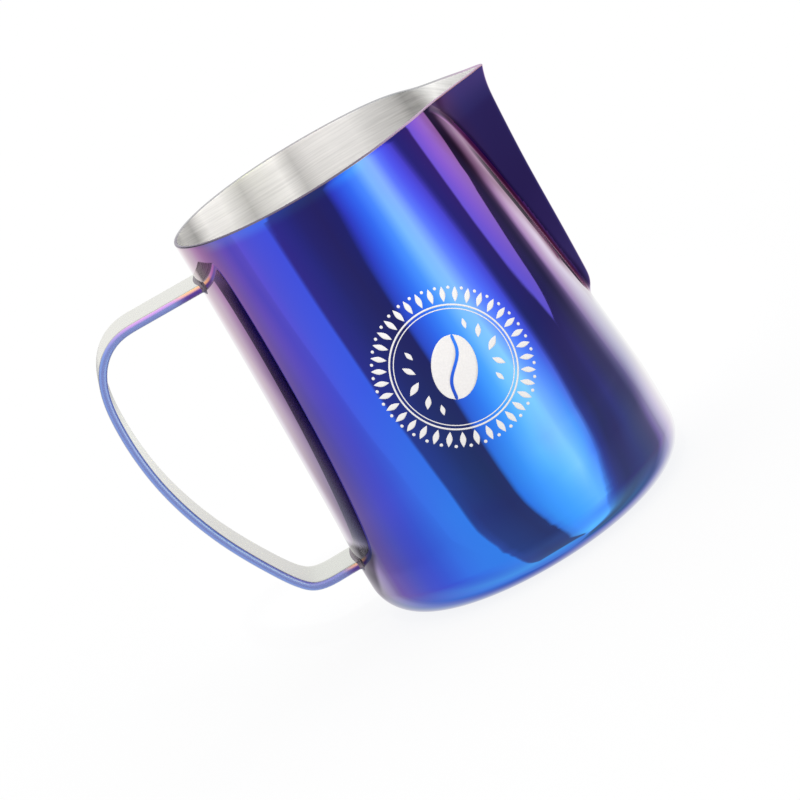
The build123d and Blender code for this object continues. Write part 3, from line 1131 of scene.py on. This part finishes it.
line_points = np.array(LINE, float)
line_lengths = np.concatenate([[0], np.cumsum(np.hypot(*np.diff(line_points, axis=0).T))])
line_x = cubic(line_lengths, line_points[:, 0])
line_z = cubic(line_lengths, line_points[:, 1])
LENGTH = line_lengths[-1]


def strip_point(s, out, side):
    """Point at length s, out mm off the strip's middle on its outer side, side mm along Y."""
    x, z = line_x(s), line_z(s)
    e = 0.05
    a = np.clip(np.asarray(s, float), e, LENGTH - e)
    tx = line_x(a + e) - line_x(a - e)
    tz = line_z(a + e) - line_z(a - e)
    norm = np.hypot(tx, tz)
    # the outer side points up on the top limb
    nx, nz = tz / norm, -tx / norm
    return np.stack(np.broadcast_arrays(x + out * nx, side + 0 * x, z + out * nz), -1)


def strip_section():
    """Closed loop of (out, side) round a rounded rectangle, anticlockwise."""
    thick, wide = STRIP_THICK / 2, STRIP_WIDTH / 2
    flat_out, flat_side = thick - STRIP_EDGE, wide - STRIP_EDGE

    def corner(out, start):
        turns = np.radians(np.linspace(start, start + 90, 8)[:-1])
        return [
            (out + STRIP_EDGE * math.cos(t), flat_side + STRIP_EDGE * math.sin(t)) for t in turns
        ]

    half = [(thick, side) for side in np.linspace(-flat_side, flat_side, 13)[:-1]]
    half += corner(flat_out, 0)
    half += [(out, wide) for out in np.linspace(flat_out, -flat_out, 3)[:-1]]
    half += corner(-flat_out, 90)
    half = np.array(half)
    return np.concatenate([half, -half])


SECTION = strip_section()


def crossing(out, side, lower, inset):
    """Length along the strip, at offset out and side, where it is inset mm into the wall."""

    def is_outside(s):
        x, y, z = strip_point(s, out, side)
        x = x - centre(z)
        return np.hypot(x, y) - (outline(z, np.arctan2(y, x)) - inset) > 0

    if lower:
        return bisect(is_outside, LENGTH - LOWER_REACH, LENGTH)
    return bisect(is_outside, UPPER_REACH, 0.0)


def build_handle():
    rows, cols = 220, len(SECTION)
    out, side = SECTION.T
    start, end = (
        np.array([crossing(o, s, lower, ROOT_DEPTH) for o, s in SECTION])
        for lower in (False, True)
    )
    rings = [strip_point(start + (end - start) * t, out, side) for t in np.linspace(0, 1, rows)]
    # a fan closes each end
    middles = [
        strip_point(crossing(0.0, 0.0, lower, ROOT_DEPTH), 0.0, 0.0) for lower in (False, True)
    ]
    verts = np.concatenate(rings + [np.array(middles)])
    faces = grid_faces(rows, cols, flip=True)
    first_middle = rows * cols
    last = first_middle - cols
    for j in range(cols):
        k = (j + 1) % cols
        faces += [(first_middle, j, k), (first_middle + 1, last + k, last + j)]
    on_face = np.abs(out) > STRIP_THICK / 2 - FACE_BAND
    flat = [int(on_face[j] and on_face[(j + 1) % cols]) for j in range(cols)]
    slots = flat * (rows - 1) + [0] * (2 * cols)
    ob = make_object("handle_strip", verts, faces, [HANDLE_EDGE, HANDLE_FACE], slots)
    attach(ob, "root")
    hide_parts("handle")


def build_weld(name, node, lower):
    """A small concave bead round the strip where it meets the wall."""
    along = np.roll(SECTION, -1, 0) - np.roll(SECTION, 1, 0)
    normals = np.stack([along[:, 1], -along[:, 0]], -1)
    normals = normals / np.linalg.norm(normals, axis=1, keepdims=True)
    # (distance off the strip, distance off the wall): an arc from the strip's surface down
    # to the wall's, then back through the metal
    arc = np.radians(np.linspace(0, 90, 7))
    profile = [
        (-WELD_BURY, WELD_LEG + WELD_LAP),
        *[(WELD_LEG * (1 - math.cos(a)), WELD_LEG * (1 - math.sin(a))) for a in arc],
        (WELD_LEG + WELD_LAP, -WELD_BURY),
        (0.3, -0.25),
        (-WELD_BURY, -WELD_BURY),
    ]
    verts = []
    for off_strip, off_wall in profile:
        for out, side in SECTION + normals * off_strip:
            s = crossing(out, side, lower, 0.0)
            verts.append(strip_point(s - off_wall if lower else s + off_wall, out, side))
    faces = grid_faces(len(profile), len(SECTION), flip=not lower, join_rows=True)
    ob = make_object(name, verts, faces, [WELD])
    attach(ob, "root")
    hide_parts(node)


build_handle()
build_weld("weld_bead_upper", "upper_handle_weld", lower=False)
build_weld("weld_bead_lower", "lower_handle_weld", lower=True)

# ---------------------------------------------------------------- emblem

EMBLEM_X, EMBLEM_Z = 2.8, 58.9
EMBLEM_LEAN = math.radians(1.7)
EMBLEM_UP, EMBLEM_DOWN = 0.03, -0.05  # the print's top and underside off the wall
# azimuth of the emblem's middle on the -Y wall
EMBLEM_PHI = bisect(
    lambda phi: wall_point(EMBLEM_Z, phi)[0] < EMBLEM_X, -math.pi * 0.75, -math.pi * 0.25
)
EMBLEM_WALL = float(outline(EMBLEM_Z, EMBLEM_PHI))

RAYS = 36
LEAF_RING, LEAF_LENGTH, LEAF_WIDTH = 18.6, 4.0, 1.5
DOT_RING, DOT_RADIUS = 20.3, 0.42
RINGS = [(15.9, 0.45), (14.9, 0.25)]  # radius, line width
BEAN_WIDTH, BEAN_LENGTH = 5.7, 8.3  # half sizes
BEAN_WAVE, BEAN_GAP = 1.05, 0.42  # the middle line's swing, and half its opening
BEAN_TILT = math.radians(28)
# Leaves of a sprig: distance from the middle, degrees, length, width
SPRIG = [
    (11.4, 0, 4.2, 1.7),
    (11.2, 24, 3.6, 1.5),
    (11.2, -24, 3.6, 1.5),
    (11.4, 44, 2.8, 1.2),
    (11.4, -44, 2.8, 1.2),
]
SPRIG_SPLAY = math.radians(30)


def on_wall(flat, lift):
    """(u, v) mm on the emblem's flat drawing to points on the wall, lifted off it."""
    u, v = flat[..., 0], flat[..., 1]
    turned_u = u * math.cos(EMBLEM_LEAN) + v * math.sin(EMBLEM_LEAN)
    turned_v = -u * math.sin(EMBLEM_LEAN) + v * math.cos(EMBLEM_LEAN)
    phi = EMBLEM_PHI + turned_u / EMBLEM_WALL
    z = EMBLEM_Z + turned_v
    return (wall_point(z, phi) + wall_normal(z, phi) * lift).reshape(-1, 3)


class Print:
    """Thin closed patches that follow the wall."""

    def __init__(self):
        self.verts = []
        self.faces = []
        self.count = 0

    def ribbon(self, a, b, across, closed=False):
        """A patch between two edges a and b, given as (u, v) points."""
        rows, cols = len(a), across + 1
        t = np.linspace(0, 1, cols)[None, :, None]
        grid = a[:, None, :] * (1 - t) + b[:, None, :] * t
        self.verts += [on_wall(grid, EMBLEM_UP), on_wall(grid, EMBLEM_DOWN)]
        top = self.count
        low = top + rows * cols
        for i in range(rows if closed else rows - 1):
            p = i * cols
            q = (i + 1) % rows * cols
            for j in range(across):
                quad = (p + j, p + j + 1, q + j + 1, q + j)
                self.faces.append(tuple(top + x for x in quad))
                self.faces.append(tuple(low + x for x in quad[::-1]))
            self.faces.append((top + q, low + q, low + p, top + p))
            p += across
            q += across
            self.faces.append((top + p, low + p, low + q, top + q))
        if not closed:
            r = (rows - 1) * cols
            for j in range(across):
                self.faces.append((top + j, low + j, low + j + 1, top + j + 1))
                self.faces.append((top + r + j + 1, low + r + j + 1, low + r + j, top + r + j))
        self.count += 2 * rows * cols

    def ring(self, radius, width):
        t = np.linspace(0, 2 * math.pi, 160, endpoint=False)
        circle = np.stack([np.cos(t), np.sin(t)], -1)
        self.ribbon(
            circle * (radius - width / 2), circle * (radius + width / 2), across=2, closed=True
        )

    def leaf(self, distance, around, direction, length, width):
        """A pointed leaf at polar place (distance, around) along a direction."""
        s = np.linspace(-1, 1, 9)[:, None]
        half = width / 2 * np.maximum(1 - np.abs(s) ** 1.6, 0.02)
        d = np.array([math.cos(direction), math.sin(direction)])
        sideways = np.array([-d[1], d[0]])
        middle = distance * np.array([math.cos(around), math.sin(around)]) + s * d * length / 2
        self.ribbon(middle + sideways * half, middle - sideways * half, across=4)

    def dot(self, distance, around, radius):
        s = np.linspace(-1, 1, 10)
        half = radius * np.sqrt(np.maximum(1 - s**2, 0.003))
        middle = distance * np.array([math.cos(around), math.sin(around)])
        middle = middle + np.stack([s * radius, 0 * s], -1)
        offset = np.stack([0 * s, half], -1)
        self.ribbon(middle - offset, middle + offset, across=3)

    def half_bean(self, side):
        """Half of a leaning coffee bean; the wavy line between the halves is left open."""
        t = np.linspace(-1, 1, 41)
        outer = side * BEAN_WIDTH * np.sqrt(np.maximum(1 - t**2, 0.0006))
        inner = BEAN_WAVE * np.sin(t * math.pi * 0.95) * (1 - t**4) + side * BEAN_GAP
        inner = np.where(side * inner > side * outer, outer * 0.98, inner)
        y = BEAN_LENGTH * t
        c, s = math.cos(BEAN_TILT), math.sin(BEAN_TILT)
        edges = [np.stack([x * c + y * s, -x * s + y * c], -1) for x in (inner, outer)]
        self.ribbon(*edges[::-side], across=8)


def build_emblem():
    drawing = Print()
    for i in range(RAYS):
        a = 2 * math.pi * (i + 0.5) / RAYS
        drawing.leaf(LEAF_RING, a, a, LEAF_LENGTH, LEAF_WIDTH)
    for i in range(RAYS):
        drawing.dot(DOT_RING, 2 * math.pi * i / RAYS, DOT_RADIUS)
    for radius, width in RINGS:
        drawing.ring(radius, width)
    for side in (1, -1):
        drawing.half_bean(side)
    # a short sprig on either side of the bean
    for turn in (0, math.pi):
        for distance, degrees, length, width in SPRIG:
            a = math.radians(degrees) + turn
            splay = SPRIG_SPLAY if degrees >= 0 else -SPRIG_SPLAY
            drawing.leaf(distance, a, a + splay, length, width)
    ob = make_object("emblem_ornament", np.concatenate(drawing.verts), drawing.faces, [EMBLEM])
    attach(ob, "root")


build_emblem()

# ---------------------------------------------------------------- floor and camera, metres

FLOOR_RINGS = [0.1, 0.3, 1.0, 3.0, 9.0, 30.0]
FLOOR_SIDES = 96
FLOOR_DROP = 0.0002  # gap below the pitcher


def build_floor():
    n = FLOOR_SIDES
    angles = [2 * math.pi * i / n for i in range(n)]
    verts = [(0.0, 0.0, 0.0)]
    verts += [(r * math.cos(a), r * math.sin(a), 0.0) for r in FLOOR_RINGS for a in angles]
    faces = [(0, 1 + i, 1 + (i + 1) % n) for i in range(n)]
    for ring in range(len(FLOOR_RINGS) - 1):
        b = 1 + ring * n
        for i in range(n):
            j = (i + 1) % n
            faces.append((b + i, b + n + i, b + n + j, b + j))
    mesh = bpy.data.meshes.new("studio_floor")
    mesh.from_pydata(verts, [], faces)
    mesh.materials.append(floor_material())
    ob = bpy.data.objects.new("studio_floor", mesh)
    ob.location = (0, 0, -FLOOR_DROP)
    scene.collection.objects.link(ob)
    ob.visible_glossy = False


def add_camera():
    """A long lens on the -Y side, rolled and looking slightly down."""
    camera = bpy.data.cameras.new("camera")
    camera.sensor_fit = "HORIZONTAL"
    camera.sensor_width = 36.0
    camera.lens = 179.40876562
    camera.clip_start = 0.01
    camera.clip_end = 100.0
    ob = bpy.data.objects.new("camera", camera)
    right = (0.85514264, -0.11107297, -0.50635349)
    up = (0.51822629, 0.2079208, 0.82958451)
    backward = (0.01313701, -0.97181878, 0.23536288)
    place = (-0.000026, -1.001581, 0.291303)
    ob.matrix_world = Matrix((*zip(right, up, backward, place), (0, 0, 0, 1)))
    scene.collection.objects.link(ob)
    scene.camera = ob


build_floor()
add_camera()
